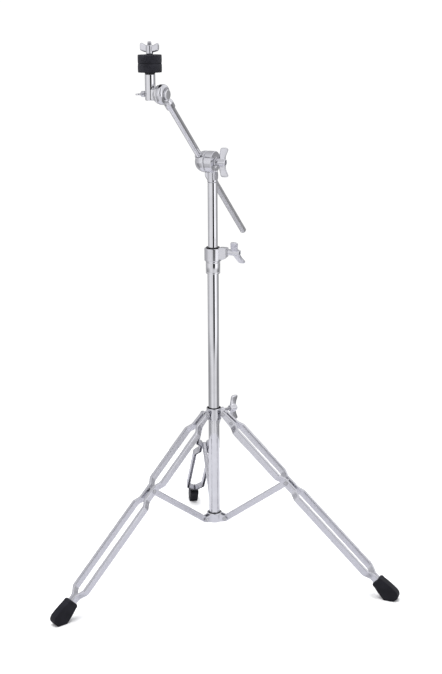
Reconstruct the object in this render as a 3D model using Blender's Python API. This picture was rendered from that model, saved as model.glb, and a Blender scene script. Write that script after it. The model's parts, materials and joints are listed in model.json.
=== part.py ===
"""Cymbal boom stand: a folding double-braced tripod, a two-stage tube and a tilting, sliding boom.

Lengths below are in millimetres and meshes are scaled to metres as they are made. The stand's own
frame has +Z up, the floor at z = 0 and the origin under the middle of the whole stand; the rear leg
points along +Y. A direction's azimuth is counted from -Y towards +X.
"""

import math

import bmesh
import bpy
from mathutils import Matrix, Vector

MM = 0.001
GAP = 0.3  # left between pieces that touch

# Tubes
BASE_TUBE_R = 11.1
BASE_TUBE_WALL = 1.2
BASE_TUBE_BOTTOM = 112.0
BASE_TUBE_TOP = 668.0
UPPER_TUBE_R = 9.525
UPPER_TUBE_WALL = 1.3
UPPER_TUBE_BOTTOM = 250.0
UPPER_TUBE_TOP = 811.0

# Tripod linkage, as (distance from the tube's axis, height) of each leg's pins
LEG_AZIMUTHS = {"right": 60.0, "left": -60.0, "rear": 180.0}
TOP_PIN = (22.5, 346.2)
MID_PIN = (157.7, 217.8)
LOWER_PIN = (24.5, 118.8)
COLLAR_DRIFT = 1.4  # the collar's sideways travel as the legs fold
PIN_R = 2.0
PIN_HOLE_R = 2.3

# Leg strips and stays
STRIP_DEPTH = 13.6
STRIP_WIDTH = 6.8
STRIP_WALL = 1.3
STRIP_SPREAD = 13.9  # the inner edge's distance from the leg's middle where the strips part
STRIP_PINCH = 4.1
STRIP_TOP_PINCH = 2.9
STRIP_FOOT_PINCH = 0.3
PINCH_RIVET_AT = 25.0
STRIP_END_AT = 468.0
STAY_WIDTH = 7.4
STAY_DEPTH = 12.4

# Feet
FOOT_R = 13.5
FOOT_START = 447.0
FOOT_CENTRE_HEIGHT = 10.0  # the round end's centre above the floor

# Tube joint
JOINT_LOW, JOINT_HIGH = 658.0, 683.0
JOINT_AZIMUTH = 58.8
JOINT_BOLT_HEIGHT = 677.0

# Collar wing screw
COLLAR_SCREW_AZIMUTH = 120.0
COLLAR_SCREW_HEIGHT = 345.0

# Boom
CLAMP_HEIGHT = 850.0
CLAMP_AZIMUTH = 54.8
CLAMP_R = 21.0
BOOM_SIDE = -21.0  # the boom's place along the clamp's axis
BOOM_R = 6.6
BOOM_WALL = 1.4
BOOM_RISE = math.radians(42.5)
BOOM_LOW, BOOM_HIGH = -240.0, 177.0

# Cymbal tilter
TILTER_ALONG = 200.0
STEM_SIDE = -27.0
STEM_R = 9.5
ROD_R = 3.9
FELT_R = 21.5
FELT_LOW, FELT_MIDDLE, FELT_HIGH = 38.3, 53.6, 69.2

FINISHES = {  # colour, roughness, metallic
    "chrome": ((0.80, 0.80, 0.82), 0.12, 1.0),
    "bare_steel": ((0.55, 0.55, 0.56), 0.35, 1.0),
    "black_rubber": ((0.03, 0.03, 0.035), 0.7, 0.0),
    "black_nylon": ((0.05, 0.05, 0.055), 0.5, 0.0),
    "black_felt": ((0.04, 0.04, 0.05), 0.95, 0.0),
}


# ---- Helpers ---------------------------------------------------------------------------------------


def finish(name):
    material = bpy.data.materials.get(name)
    if material is None:
        material = bpy.data.materials.new(name)
        material.use_nodes = True
        colour, roughness, metallic = FINISHES[name]
        shader = material.node_tree.nodes["Principled BSDF"]
        shader.inputs["Base Color"].default_value = (*colour, 1.0)
        shader.inputs["Roughness"].default_value = roughness
        shader.inputs["Metallic"].default_value = metallic
    return material


def heading(azimuth):
    """The level direction at this azimuth in degrees."""
    turn = math.radians(azimuth)
    return Vector((math.sin(turn), -math.cos(turn), 0.0))


def frame(name, origin, x_axis, z_axis):
    """An empty at origin, in millimetres, with these two axes. Pieces are parented to it."""
    x = Vector(x_axis).normalized()
    z = Vector(z_axis).normalized()
    y = z.cross(x)
    empty = bpy.data.objects.new(name, None)
    bpy.context.collection.objects.link(empty)
    turn = Matrix((x, y, z)).transposed().to_4x4()
    empty.matrix_world = Matrix.Translation(Vector(origin) * MM) @ turn
    return empty


def piece(name, shape, material, where):
    """One object from a bmesh drawn in millimetres, placed by the empty it is parented to."""
    bmesh.ops.recalc_face_normals(shape, faces=shape.faces)
    bmesh.ops.scale(shape, vec=(MM, MM, MM), verts=shape.verts)
    mesh = bpy.data.meshes.new(name)
    shape.to_mesh(mesh)
    shape.free()
    mesh.shade_smooth()
    mesh.set_sharp_from_angle(angle=math.radians(32.0))
    mesh.materials.append(finish(material))
    obj = bpy.data.objects.new(name, mesh)
    bpy.context.collection.objects.link(obj)
    obj.parent = where
    return obj


def boolean(obj, shape, operation, where=None):
    """Joins a shape to obj, or cuts it out, with a hidden tool drawn in the same frame."""
    tool_name = f"{obj.name}_tool_{len(obj.modifiers) + 1}"
    tool = piece(tool_name, shape, obj.data.materials[0].name, where or obj.parent)
    tool.hide_render = True
    tool.display_type = "WIRE"
    modifier = obj.modifiers.new(operation.lower(), "BOOLEAN")
    modifier.operation = operation
    modifier.object = tool
    modifier.solver = "EXACT"


def fuse(obj, shape, where=None):
    boolean(obj, shape, "UNION", where)


def cut(obj, shape, where=None):
    boolean(obj, shape, "DIFFERENCE", where)


def aimed(shape, axis, at):
    """Turns a shape drawn along Z so that it lies along axis, and moves it to at."""
    turns = {
        "X": Matrix.Rotation(math.radians(90.0), 4, "Y"),
        "Y": Matrix.Rotation(math.radians(-90.0), 4, "X"),
        "Z": Matrix.Identity(4),
    }
    bmesh.ops.transform(shape, matrix=Matrix.Translation(at) @ turns[axis], verts=shape.verts)
    return shape


def turned(profile, sides=24, axis="Z", at=(0.0, 0.0, 0.0)):
    """A solid of revolution from (radius, height) points. It is closed on the axis if it starts there."""
    shape = bmesh.new()
    ring = [shape.verts.new((radius, 0.0, height)) for radius, height in profile]
    pairs = list(zip(ring, ring[1:]))
    if profile[0][0] > 0.0:
        pairs.append((ring[-1], ring[0]))
    edges = [shape.edges.new(pair) for pair in pairs]
    bmesh.ops.spin(
        shape,
        geom=ring + edges,
        cent=(0.0, 0.0, 0.0),
        axis=(0.0, 0.0, 1.0),
        angle=math.tau,
        steps=sides,
        use_merge=True,
    )
    bmesh.ops.remove_doubles(shape, verts=shape.verts, dist=0.0001)
    return aimed(shape, axis, at)


def rod(radius, low, high, sides=16, axis="Z", at=(0.0, 0.0, 0.0), chamfer=0.0):
    """A round bar from low to high along its axis, with chamfered ends if wanted."""
    profile = [(0.0, low), (radius - chamfer, low), (radius, low + chamfer)]
    profile += [(radius, high - chamfer), (radius - chamfer, high), (0.0, high)]
    if chamfer == 0.0:
        profile = [(0.0, low), (radius, low), (radius, high), (0.0, high)]
    return turned(profile, sides, axis, at)


def pipe(outer, inner, low, high, sides=24, axis="Z", at=(0.0, 0.0, 0.0)):
    return turned([(outer, low), (outer, high), (inner, high), (inner, low)], sides, axis, at)


def plate(outline, low, high):
    """An outline in the XZ plane extruded along Y from low to high."""
    shape = bmesh.new()
    face = shape.faces.new([shape.verts.new((u, low, v)) for u, v in outline])
    grown = bmesh.ops.extrude_face_region(shape, geom=[face])["geom"]
    moved = [item for item in grown if isinstance(item, bmesh.types.BMVert)]
    bmesh.ops.translate(shape, vec=(0.0, high - low, 0.0), verts=moved)
    return shape


def arc(centre, radius, start, end, steps):
    """Points on a circle from start to end, in degrees."""
    turns = [math.radians(start + (end - start) * n / steps) for n in range(steps + 1)]
    return [(centre[0] + radius * math.cos(t), centre[1] + radius * math.sin(t)) for t in turns]


def swept(rings):
    """A solid skinned over rings of points, the first and last one capped."""
    shape = bmesh.new()
    loops = [[shape.verts.new(point) for point in ring] for ring in rings]
    for near, far in zip(loops, loops[1:]):
        for n in range(len(near)):
            m = (n + 1) % len(near)
            shape.faces.new((near[n], near[m], far[m], far[n]))
    shape.faces.new(loops[0])
    shape.faces.new(loops[-1])
    return shape


def coil(radius, wire, low, high, turns, axis, at):
    """A compression spring between low and high along its axis."""
    steps_a_turn, wire_sides = 8, 4
    steps = turns * steps_a_turn
    rings = []
    for n in range(steps + 1):
        t = math.tau * n / steps_a_turn
        rise = low + wire + (high - low - 2 * wire) * n / steps
        ring = []
        for k in range(wire_sides):
            b = math.tau * k / wire_sides
            out = radius + wire * math.cos(b)
            ring.append((out * math.cos(t), out * math.sin(t), rise + wire * math.sin(b)))
        rings.append(ring)
    return aimed(swept(rings), axis, at)


def wing_outline(span, root, tip):
    """Two blades that flare outward, as (across, along the screw): root and tip are (low, high)."""
    half = span / 2
    bend = (tip[1] - tip[0]) / 3
    blade = [(4.5, root[0]), (half - bend, tip[0]), (half, tip[0] + bend)]
    blade += [(half, tip[1] - bend), (half - bend, tip[1]), (4.5, root[1])]
    return blade + [(-across, along) for across, along in reversed(blade)]


def wing_nut(name, where, hub, span, root, tip, bore, blade=4.6):
    """A wing nut whose screw axis is local Z and whose wings lie along local X."""
    hub_radius, hub_low, hub_high = hub
    bore_radius, bore_low, bore_high = bore
    profile = [(0.0, hub_low), (hub_radius - 0.6, hub_low), (hub_radius, hub_low + 0.6)]
    profile += [(hub_radius, hub_high - 1.2), (hub_radius - 1.2, hub_high), (0.0, hub_high)]
    nut = piece(name, turned(profile, 20), "chrome", where)
    fuse(nut, plate(wing_outline(span, root, tip), -blade / 2, blade / 2))
    cut(nut, rod(bore_radius, bore_low, bore_high, 14))
    return nut


def rivet(name, where, along, reach, head_radius):
    """A rivet along local Y at this place along local X, with a low dome on each side of reach."""
    head = [(head_radius, reach + GAP), (head_radius * 0.6, reach + 1.9)]
    profile = [(0.0, -(reach + 1.9))]
    profile += [(radius, -height) for radius, height in reversed(head)]
    profile += [(PIN_R, -(reach + GAP)), (PIN_R, reach + GAP)]
    profile += head + [(0.0, reach + 1.9)]
    return piece(name, turned(profile, 12, "Y", (along, 0.0, 0.0)), "bare_steel", where)


# ---- Layout ----------------------------------------------------------------------------------------


def leg_lean():
    """The legs' lean from upright, from the top pin to the middle pin."""
    return math.atan2(MID_PIN[0] - TOP_PIN[0], TOP_PIN[1] - MID_PIN[1])


def stay_lean():
    return math.atan2(MID_PIN[0] - LOWER_PIN[0], MID_PIN[1] - LOWER_PIN[1])


def foot_centre_along():
    """How far down the leg the foot's round end is centred."""
    return (TOP_PIN[1] - FOOT_CENTRE_HEIGHT) / math.cos(leg_lean())


def tube_y():
    """The tube stands off the middle of the stand, because the rear leg reaches further back."""
    reach = TOP_PIN[0] + foot_centre_along() * math.sin(leg_lean())
    front_reach = reach * math.cos(math.radians(LEG_AZIMUTHS["right"]))
    return (front_reach - reach) / 2


def tube_point(height):
    return Vector((0.0, tube_y(), height))


def tube_frame(name, azimuth, height=0.0):
    """A frame on the tube's axis with X level at this azimuth and Z up."""
    return frame(name, tube_point(height), heading(azimuth), (0, 0, 1))


# ---- Base: tube, lower collar and tube joint --------------------------------------------------------


def base():
    axis = tube_frame("base_frame", 90.0)
    inner = BASE_TUBE_R - BASE_TUBE_WALL
    tube = pipe(BASE_TUBE_R, inner, BASE_TUBE_BOTTOM, BASE_TUBE_TOP, 32)
    piece("base_tube", tube, "chrome", axis)
    low = BASE_TUBE_BOTTOM - GAP
    plug = [(0.0, low - 1.7), (BASE_TUBE_R - 0.6, low - 1.7), (BASE_TUBE_R, low - 1.1), (BASE_TUBE_R, low)]
    plug += [(inner - GAP, low), (inner - GAP, low + 12.0), (0.0, low + 12.0)]
    piece("bottom_plug", turned(plug), "black_nylon", axis)
    ferrule = [(14.15, 633.6), (14.15, 657.0), (13.6, 657.7), (11.4, 657.7), (11.4, 633.0), (13.6, 633.0)]
    piece("joint_ferrule", turned(ferrule, 32), "chrome", axis)


def lower_collar():
    """The fixed collar: a sleeve with two cheeks for each stay."""
    axis = tube_frame("lower_collar_frame", 90.0)
    sleeve_r, bore_r = 15.5, 12.7
    low, high = 110.4, 129.4
    profile = [(sleeve_r, low + 0.8), (sleeve_r, high - 0.8), (sleeve_r - 0.8, high)]
    profile += [(bore_r, high), (bore_r, low), (sleeve_r - 0.8, low)]
    collar = piece("lower_collar", turned(profile, 32), "chrome", axis)
    bush = pipe(bore_r - GAP, BASE_TUBE_R + GAP, low, high + 2.2, 24)
    piece("lower_collar_bush", bush, "black_nylon", axis)
    cheek_low = STAY_WIDTH / 2 + 0.4
    cheek_high = cheek_low + 3.0
    outline = [(12.9, -8.0)] + arc((LOWER_PIN[0], 0.0), 5.4, -74.0, 76.0, 5) + [(12.9, 9.2)]
    for side, azimuth in LEG_AZIMUTHS.items():
        radial = tube_frame(f"lower_pin_{side}", azimuth, LOWER_PIN[1])
        for low_face, high_face in ((cheek_low, cheek_high), (-cheek_high, -cheek_low)):
            fuse(collar, plate(outline, low_face, high_face), radial)
        at_pin = (LOWER_PIN[0], 0.0, 0.0)
        cut(collar, rod(PIN_HOLE_R, -10.0, 10.0, 12, "Y", at_pin), radial)
        rivet(f"lower_rivet_{side}", radial, LOWER_PIN[0], cheek_high, 4.4)


def tube_joint():
    """The split-free clamp on top of the base tube: an eye bolt draws its bush onto the upper tube."""
    radial = tube_frame("tube_joint_frame", JOINT_AZIMUTH)
    bore, seat = BASE_TUBE_R + GAP, 14.0
    profile = [(16.7, JOINT_LOW + 1.0), (16.7, JOINT_HIGH - 1.0), (15.9, JOINT_HIGH)]
    profile += [(seat, JOINT_HIGH), (seat, BASE_TUBE_TOP + GAP), (bore, BASE_TUBE_TOP + GAP)]
    profile += [(bore, JOINT_LOW), (15.9, JOINT_LOW)]
    joint = piece("tube_joint", turned(profile, 32), "chrome", radial)
    lug = [(14.8, 662.0), (23.5, 662.0), (29.0, 666.5), (30.0, 669.0), (30.0, 684.2), (28.8, 685.4)]
    fuse(joint, plate(lug + [(14.8, 685.4)], -7.2, 7.2))
    at_bolt = (0.0, 0.0, JOINT_BOLT_HEIGHT)
    cut(joint, rod(3.5, 10.0, 40.0, 14, "X", at_bolt))

    eye = pipe(13.7, 11.3, JOINT_BOLT_HEIGHT - 4.0, JOINT_BOLT_HEIGHT + 4.0, 24)
    bolt = piece("joint_eye_bolt", eye, "bare_steel", radial)
    fuse(bolt, rod(3.0, 12.4, 50.0, 14, "X", at_bolt, 0.5))
    washer = pipe(7.0, 3.4, 30.3, 31.8, 20, "X", at_bolt)
    piece("joint_washer", washer, "chrome", radial)

    inner = UPPER_TUBE_R + GAP
    bush = [(11.0, BASE_TUBE_TOP + 0.6), (11.0, JOINT_HIGH + GAP), (13.4, JOINT_HIGH + GAP)]
    bush += [(13.4, JOINT_HIGH + 2.0), (inner, JOINT_HIGH + 2.0), (inner, BASE_TUBE_TOP + 0.6)]
    piece("joint_bush", turned(bush, 24), "black_nylon", radial)

    outward = heading(JOINT_AZIMUTH)
    across = Vector((0, 0, 1)).cross(outward)
    lean = math.radians(42.0)
    span_way = Vector((0, 0, 1)) * math.cos(lean) - across * math.sin(lean)
    place = tube_point(JOINT_BOLT_HEIGHT)
    wing = frame("joint_wing_frame", place, span_way, outward)
    wing_nut("joint_wing_nut", wing, (6.3, 32.1, 57.0), 62.0, (42.0, 55.0), (47.0, 59.0), (3.4, 31.0, 52.0))


# ---- Tripod ----------------------------------------------------------------------------------------


def strip_ring(along, inner, depth, side):
    """The leg strip's channel section at one place along the leg. Its open side is underneath."""
    half = depth / 2
    thin = min(STRIP_WALL, half - 0.6)
    outer, bend, top = STRIP_WIDTH, min(2.0, depth / 4), half - thin
    near, far = STRIP_WALL, STRIP_WIDTH - STRIP_WALL
    section = [(outer, -half), (outer, half - bend), (outer - bend, half), (bend, half), (0.0, half - bend)]
    section += [(0.0, -half), (near, -half), (near, top), (far, top), (far, -half)]
    return [(along, side * (inner + across), up) for across, up in section]


def strip_stations():
    """Places along the leg, each with the strip's inner edge and depth there."""
    mid = math.hypot(MID_PIN[0] - TOP_PIN[0], TOP_PIN[1] - MID_PIN[1])
    knees = [(28.0, STRIP_TOP_PINCH), (46.0, STRIP_SPREAD), (166.0, STRIP_SPREAD)]
    knees += [(mid - 6.0, STRIP_PINCH), (mid + 21.0, STRIP_PINCH), (mid + 39.0, STRIP_SPREAD)]
    knees += [(418.0, STRIP_SPREAD), (440.0, STRIP_FOOT_PINCH)]
    stations = [(-4.8, STRIP_TOP_PINCH, 5.0), (-3.0, STRIP_TOP_PINCH, 8.6), (0.0, STRIP_TOP_PINCH, 10.0)]
    stations += [(along, inner, STRIP_DEPTH) for along, inner in knees]
    return stations + [(STRIP_END_AT, STRIP_FOOT_PINCH, STRIP_DEPTH)]


def leg(side, azimuth):
    """One leg: two channel strips riveted at the pins and a rubber foot, drawn with X down the leg."""
    lean = leg_lean()
    out = heading(azimuth)
    down_leg = out * math.sin(lean) - Vector((0, 0, 1)) * math.cos(lean)
    above = out * math.cos(lean) + Vector((0, 0, 1)) * math.sin(lean)
    top = tube_point(TOP_PIN[1]) + out * TOP_PIN[0]
    along_leg = frame(f"leg_{side}_frame", top, down_leg, above)
    mid = math.hypot(MID_PIN[0] - TOP_PIN[0], TOP_PIN[1] - MID_PIN[1])

    for hand, sign in (("a", 1), ("b", -1)):
        rings = [strip_ring(*station, sign) for station in strip_stations()]
        strip = piece(f"leg_strip_{side}_{hand}", swept(rings), "chrome", along_leg)
        for place in (0.0, PINCH_RIVET_AT, mid):
            low, high = sorted((sign * 1.0, sign * 13.0))
            cut(strip, rod(PIN_HOLE_R, low, high, 10, "Y", (place, 0.0, 0.0)))

    rivet(f"top_rivet_{side}", along_leg, 0.0, STRIP_TOP_PINCH + STRIP_WIDTH, 4.6)
    rivet(f"pinch_rivet_{side}", along_leg, PINCH_RIVET_AT, STRIP_TOP_PINCH + STRIP_WIDTH, 3.6)
    rivet(f"mid_rivet_{side}", along_leg, mid, STRIP_PINCH + STRIP_WIDTH, 4.6)

    tip = foot_centre_along()
    profile = [(0.0, FOOT_START), (11.6, FOOT_START), (13.0, FOOT_START + 2.0), (FOOT_R, FOOT_START + 8.0)]
    profile += arc((0.0, tip), FOOT_R, 0.0, 90.0, 3)[:-1] + [(0.0, tip + FOOT_R)]
    foot = piece(f"foot_{side}", turned(profile, 16, "X"), "black_rubber", along_leg)
    pocket_half = STRIP_WIDTH + STRIP_FOOT_PINCH + GAP
    depth_half = STRIP_DEPTH / 2 + GAP
    pocket = [(FOOT_START - 5.0, -depth_half), (STRIP_END_AT + GAP, -depth_half)]
    pocket += [(STRIP_END_AT + GAP, depth_half), (FOOT_START - 5.0, depth_half)]
    cut(foot, plate(pocket, -pocket_half, pocket_half))
    below_floor = [(300.0, -60.0), (460.0, -60.0), (460.0, 0.0), (300.0, 0.0)]
    cut(foot, plate(below_floor, -40.0, 40.0), tube_frame(f"floor_{side}", azimuth))


def stay(side, azimuth):
    """One brace from the lower collar to the leg: a channel with its open side down."""
    lean = stay_lean()
    out = heading(azimuth)
    up_stay = out * math.sin(lean) + Vector((0, 0, 1)) * math.cos(lean)
    above = Vector((0, 0, 1)) * math.sin(lean) - out * math.cos(lean)
    foot_pin = tube_point(LOWER_PIN[1]) + out * LOWER_PIN[0]
    along_stay = frame(f"stay_{side}_frame", foot_pin, up_stay, above)
    length = math.hypot(MID_PIN[0] - LOWER_PIN[0], MID_PIN[1] - LOWER_PIN[1])
    half = STAY_WIDTH / 2
    web = half - 1.2

    def ring(along, depth):
        top, low = depth / 2, -depth / 2
        bend = min(2.0, depth / 5)
        inside = top - 1.2
        section = [(-half, low), (-half, top - bend), (bend - half, top), (half - bend, top)]
        section += [(half, top - bend), (half, low), (web, low), (web, inside), (-web, inside), (-web, low)]
        return [(along, across, up) for across, up in section]

    ends = [(-5.4, 5.0), (-3.6, 9.6), (0.0, STAY_DEPTH)]
    ends += [(length, STAY_DEPTH), (length + 3.6, 9.6), (length + 5.4, 5.0)]
    brace = piece(f"stay_{side}", swept([ring(*end) for end in ends]), "chrome", along_stay)
    for place in (0.0, length):
        cut(brace, rod(PIN_HOLE_R, -8.0, 8.0, 10, "Y", (place, 0.0, 0.0)))


def upper_collar():
    """The sliding collar: a sleeve round the tube, an ear for each leg and a boss for the wing screw."""
    axis = tube_frame("upper_collar_frame", 90.0)
    sleeve_r, bore_r = 15.2, 13.7
    low, high = 332.0, 356.0
    profile = [(sleeve_r, low + 0.6), (sleeve_r, high - 0.6), (sleeve_r - 0.6, high)]
    profile += [(bore_r, high), (bore_r, low), (sleeve_r - 0.6, low)]
    collar = piece("upper_collar", turned(profile, 32), "chrome", axis)
    bush = pipe(bore_r - GAP, BASE_TUBE_R + COLLAR_DRIFT + 0.1, low, high + 2.2, 24)
    piece("upper_collar_bush", bush, "black_nylon", axis)

    outline = [(14.4, -10.0)] + arc((TOP_PIN[0], 0.0), 5.6, -70.0, 80.0, 5) + [(14.4, 7.0)]
    for side, azimuth in LEG_AZIMUTHS.items():
        radial = tube_frame(f"top_pin_{side}", azimuth, TOP_PIN[1])
        fuse(collar, plate(outline, -1.6, 1.6), radial)
        # The rear ear carries the collar. The other two holes are slots, because the pins drift in them.
        slack = 0.0 if side == "rear" else 1.5 * COLLAR_DRIFT
        ends = arc((TOP_PIN[0] + slack, 0.0), PIN_HOLE_R, -90.0, 90.0, 6)
        ends += arc((TOP_PIN[0] - slack, 0.0), PIN_HOLE_R, 90.0, 270.0, 6)
        slot = ends[:6] + ends[7:-1] if slack == 0.0 else ends
        cut(collar, plate(slot, -5.0, 5.0), radial)

    outward = heading(COLLAR_SCREW_AZIMUTH)
    place = tube_point(COLLAR_SCREW_HEIGHT)
    screw = frame("collar_screw_frame", place, (0, 0, 1), outward)
    fuse(collar, rod(6.6, 14.0, 25.0, 20, chamfer=0.8), screw)
    cut(collar, rod(3.6, 12.0, 30.0, 14), screw)
    piece("collar_pressure_pad", rod(3.2, bore_r + 0.1, 15.4, 14), "black_nylon", screw)
    piece("collar_screw", rod(3.2, 15.7, 50.0, 14, chamfer=0.5), "bare_steel", screw)
    wing_nut("collar_wing", screw, (6.6, 40.0, 57.0), 49.0, (43.0, 56.0), (47.0, 60.0), (3.5, 39.0, 50.4))


# ---- Upper tube and boom clamp ----------------------------------------------------------------------


def upper_tube():
    axis = tube_frame("upper_tube_frame", CLAMP_AZIMUTH)
    inner = UPPER_TUBE_R - UPPER_TUBE_WALL
    tube = pipe(UPPER_TUBE_R, inner, UPPER_TUBE_BOTTOM, UPPER_TUBE_TOP, 32)
    piece("upper_tube", tube, "chrome", axis)
    low = UPPER_TUBE_BOTTOM - GAP
    guide = [(0.0, low - 5.0), (9.0, low - 5.0), (9.6, low - 4.0), (9.6, low), (inner - GAP, low)]
    guide += [(inner - GAP, low + 14.0), (0.0, low + 14.0)]
    piece("upper_tube_guide", turned(guide), "black_nylon", axis)


def boom_bracket():
    """The clamp half that stands on the upper tube: a neck, a web and a ratchet disc."""
    clamp = tube_frame("boom_bracket_frame", CLAMP_AZIMUTH, CLAMP_HEIGHT)
    face = 10.0
    disc = [(0.0, GAP - face), (20.4, GAP - face), (CLAMP_R, GAP - face + 0.6), (CLAMP_R, 5.8)]
    disc += [(19.8, 7.0), (0.0, 7.0)]
    bracket = piece("boom_bracket", turned(disc, 32, "X"), "chrome", clamp)
    neck_low = UPPER_TUBE_TOP + GAP - CLAMP_HEIGHT
    inner = UPPER_TUBE_R - UPPER_TUBE_WALL - GAP
    neck = [(0.0, neck_low - 20.0), (inner, neck_low - 20.0), (inner, neck_low), (9.9, neck_low)]
    neck += [(9.9, -18.0), (0.0, -18.0)]
    fuse(bracket, turned(neck, 24))
    web = [(-8.6, -33.0), (-12.8, -27.0), (-12.8, -22.4), (-9.7, -21.4), (-9.7, -12.0), (7.0, -12.0)]
    web += [(8.8, -24.0), (8.8, -33.0)]
    fuse(bracket, plate(web, -7.8, 7.8))
    bore = [(0.0, -12.0), (6.6, -12.0), (6.6, -3.0), (3.9, -3.0), (3.9, 12.0), (0.0, 12.0)]
    cut(bracket, turned(bore, 14, "X"))
    return clamp


def boom_holder(clamp):
    """The clamp half that the boom runs through. An eye bolt inside draws boom and halves together."""
    drum = [(0.0, -34.0), (9.0, -34.0), (15.5, -31.8), (19.4, -28.2), (CLAMP_R, -23.0), (CLAMP_R, -10.6)]
    drum += [(20.4, -10.0), (0.0, -10.0)]
    holder = piece("boom_holder", turned(drum, 32, "X"), "chrome", clamp)
    out = clamp.matrix_world.to_3x3() @ Vector((1, 0, 0))
    level = clamp.matrix_world.to_3x3() @ Vector((0, -1, 0))
    rise = level * math.cos(BOOM_RISE) + Vector((0, 0, 1)) * math.sin(BOOM_RISE)
    crossing = tube_point(CLAMP_HEIGHT) + out * BOOM_SIDE
    along_boom = frame("boom_frame", crossing, out, rise)
    cut(holder, rod(7.0, -30.0, 30.0, 20), along_boom)
    cut(holder, rod(9.8, -4.5, 4.5, 18), along_boom)
    cut(holder, rod(3.9, BOOM_SIDE + 6.0, -8.0, 13, "X"))

    eye = piece("boom_eye_bolt", pipe(9.4, 7.0, -4.0, 4.0, 20), "bare_steel", along_boom)
    fuse(eye, rod(3.5, BOOM_SIDE + 7.8, 27.0, 14, "X", chamfer=0.5), clamp)
    spring = coil(5.2, 0.6, -9.4, -3.3, 3, "X", (0.0, 0.0, 0.0))
    piece("boom_clamp_spring", spring, "bare_steel", clamp)
    piece("boom_clamp_washer", pipe(8.0, 3.9, 7.3, 9.0, 20, "X"), "chrome", clamp)
    wing = frame("boom_wing_frame", tube_point(CLAMP_HEIGHT), (0, 0, 1), out)
    wing_nut("boom_wing_nut", wing, (6.6, 9.3, 29.0), 53.0, (15.0, 28.0), (20.0, 33.0), (3.8, 9.0, 27.4))
    return along_boom


def boom(along_boom):
    """The boom arm with its end plug, and the tilter half on its upper end."""
    arm = pipe(BOOM_R, BOOM_R - BOOM_WALL, BOOM_LOW, BOOM_HIGH, 24)
    piece("boom_arm", arm, "chrome", along_boom)
    inner = BOOM_R - BOOM_WALL - GAP
    low = BOOM_LOW - GAP
    plug = [(0.0, low - 4.0), (4.2, low - 3.4), (6.2, low - 1.6), (BOOM_R, low), (inner, low)]
    plug += [(inner, low + 12.0), (0.0, low + 12.0)]
    piece("boom_end_plug", turned(plug, 20), "bare_steel", along_boom)

    pivot = (0.0, 0.0, TILTER_ALONG)
    disc = [(0.0, -6.0), (18.0, -6.0), (18.5, -5.5), (18.5, 4.6), (17.2, 6.0), (0.0, 6.0)]
    half = piece("tilter_boom_half", turned(disc, 28, "X", pivot), "chrome", along_boom)
    socket = [(0.0, 164.0), (8.0, 164.0), (8.7, 165.0), (8.7, 178.6), (5.6, 182.6), (0.0, 190.0)]
    fuse(half, turned(socket, 24))
    cut(half, rod(BOOM_R + GAP, 160.0, BOOM_HIGH + GAP, 20))
    bore = [(0.0, -8.0), (6.0, -8.0), (6.0, -1.2), (3.2, -1.2), (3.2, 10.0), (0.0, 10.0)]
    cut(half, turned(bore, 14, "X", pivot))
    spring = coil(4.6, 0.6, -5.8, -1.5, 3, "X", pivot)
    piece("tilter_spring", spring, "bare_steel", along_boom)
    bolt = [(0.0, -44.0), (2.4, -44.0), (2.9, -43.5), (2.9, 6.3), (10.0, 6.3), (10.0, 8.6)]
    bolt += [(8.4, 9.8), (0.0, 10.2)]
    piece("tilter_bolt", turned(bolt, 24, "X", pivot), "chrome", along_boom)


def tilter(along_boom):
    """The upright half of the tilter: the stem with its ratchet disc, the rod, the seat and the felts."""
    turn = along_boom.matrix_world.to_3x3()
    out = turn @ Vector((1, 0, 0))
    pivot = along_boom.matrix_world.translation / MM + turn @ Vector((0, 0, TILTER_ALONG))
    upright = frame("tilter_frame", pivot, out, (0, 0, 1))
    on_stem = frame("stem_frame", pivot + out * STEM_SIDE, out, (0, 0, 1))

    stem_top = FELT_LOW - 2.8
    profile = [(0.0, -11.0), (8.9, -11.0), (STEM_R, -10.4), (STEM_R, stem_top - 0.6)]
    profile += [(8.9, stem_top), (0.0, stem_top)]
    stem = piece("tilter_stem", turned(profile, 28), "chrome", on_stem)
    disc = [(0.0, -16.6), (15.4, -16.6), (17.0, -15.0), (17.0, -6.9), (16.5, -6.4), (0.0, -6.4)]
    fuse(stem, turned(disc, 28, "X"), upright)
    fuse(stem, plate([(-24.0, -9.0), (-12.0, -9.0), (-12.0, 9.0), (-24.0, 9.0)], -7.0, 7.0), upright)
    cut(stem, rod(3.2, -40.0, 0.0, 14, "X"), upright)
    cut(stem, rod(ROD_R + GAP, 14.0, stem_top + 5.0, 16))

    piece("cymbal_rod", rod(ROD_R, 14.3, 92.0, 16, chamfer=0.8), "bare_steel", on_stem)
    seat = pipe(9.2, ROD_R + GAP, stem_top + GAP, FELT_LOW - GAP, 24)
    piece("cymbal_seat", seat, "black_nylon", on_stem)
    sleeve = pipe(5.8, ROD_R + GAP, FELT_LOW, FELT_HIGH - 0.2, 20)
    piece("cymbal_sleeve", sleeve, "black_nylon", on_stem)
    for name, low, high in (("lower_felt", FELT_LOW, FELT_MIDDLE), ("upper_felt", FELT_MIDDLE + GAP, FELT_HIGH)):
        bevel = 0.9
        felt = [(FELT_R, low + bevel), (FELT_R, high - bevel), (FELT_R - bevel, high), (6.2, high)]
        felt += [(6.2, low), (FELT_R - bevel, low)]
        piece(name, turned(felt, 32), "black_felt", on_stem)
    hub = (6.4, FELT_HIGH + GAP, 86.0)
    wing_nut("cymbal_wing_nut", on_stem, hub, 36.0, (77.0, 88.0), (79.0, 89.0), (ROD_R + GAP, 60.0, 95.0))

    left = frame("tilter_wing_frame", pivot, Vector((0, 0, 1)).cross(out), -out)
    wing_nut("tilter_wing_nut", left, (5.6, 36.8, 45.6), 34.0, (38.4, 45.0), (40.4, 48.0), (3.2, 36.0, 44.6), 4.0)


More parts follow.
